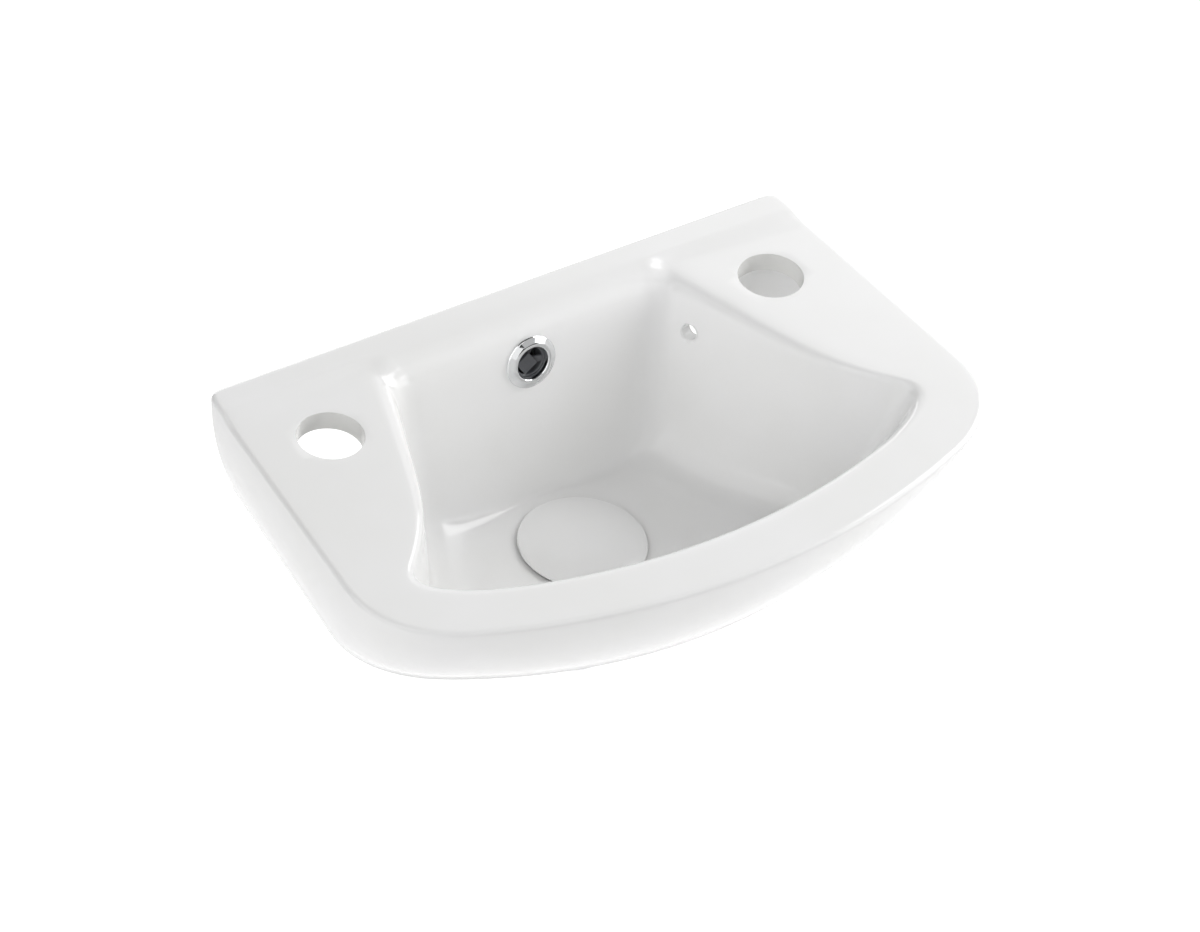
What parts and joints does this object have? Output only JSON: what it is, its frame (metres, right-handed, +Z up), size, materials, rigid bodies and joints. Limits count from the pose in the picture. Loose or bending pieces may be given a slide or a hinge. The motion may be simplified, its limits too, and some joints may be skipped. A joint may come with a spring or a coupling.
{
  "type": "cloakroom basin",
  "caption": "Small wall-hung ceramic basin with tap holes at both back corners, a bowl that widens to the front, an overflow and a push-to-open waste.",
  "frame": {"origin": "on the wall face, halfway between the two wall fixing holes", "axes": "+X along the wall to the right for someone facing the wall, +Y into the wall, +Z up"},
  "size_m": [0.3754, 0.24, 0.1755],
  "materials": {
    "glazed_china": "glossy white glaze",
    "chrome_plate": "polished",
    "clip_plastic": "dark grey, satin",
    "black_rubber": "matte",
    "grey_foam": "matte closed-cell foam",
    "white_plastic": "moulded, half gloss",
    "grey_plastic": "moulded, satin",
    "cast_brass": "machined",
    "spring_steel": "drawn wire"
  },
  "bodies": {
    "fixed": {"basin": "glazed_china", "overflow_ring": "chrome_plate", "overflow_clip": "clip_plastic", "flange_seal": "grey_foam", "waste_body": "chrome_plate", "tail_seal": "black_rubber", "slip_washer": "white_plastic", "back_nut": "cast_brass", "cartridge_housing": "white_plastic", "cartridge_cap": "grey_plastic", "cartridge_spring": "spring_steel", "lock_nut": "cast_brass"},
    "plug": {"plug_cap": "glazed_china", "plug_carrier": "grey_plastic", "plug_seal": "black_rubber", "cartridge_plunger": "chrome_plate"},
    "rotor": {"cartridge_rotor": "grey_plastic"}
  },
  "joints": [
    {"name": "plug_slide", "type": "slide", "parent": "fixed", "child": "plug", "axis": [0, 0, 1], "range_m": [0, 0.008], "deforming": ["cartridge_spring"]},
    {"name": "rotor_turn", "type": "hinge", "parent": "plug", "child": "rotor", "pos_m": [0, -0.0976, -0.0995], "axis": [0, 0, 1], "range_deg": [0, 45]}
  ],
  "couplings": [
    {"joint": "rotor_turn", "follows": "plug_slide", "rad_per_m": 98.17}
  ]
}
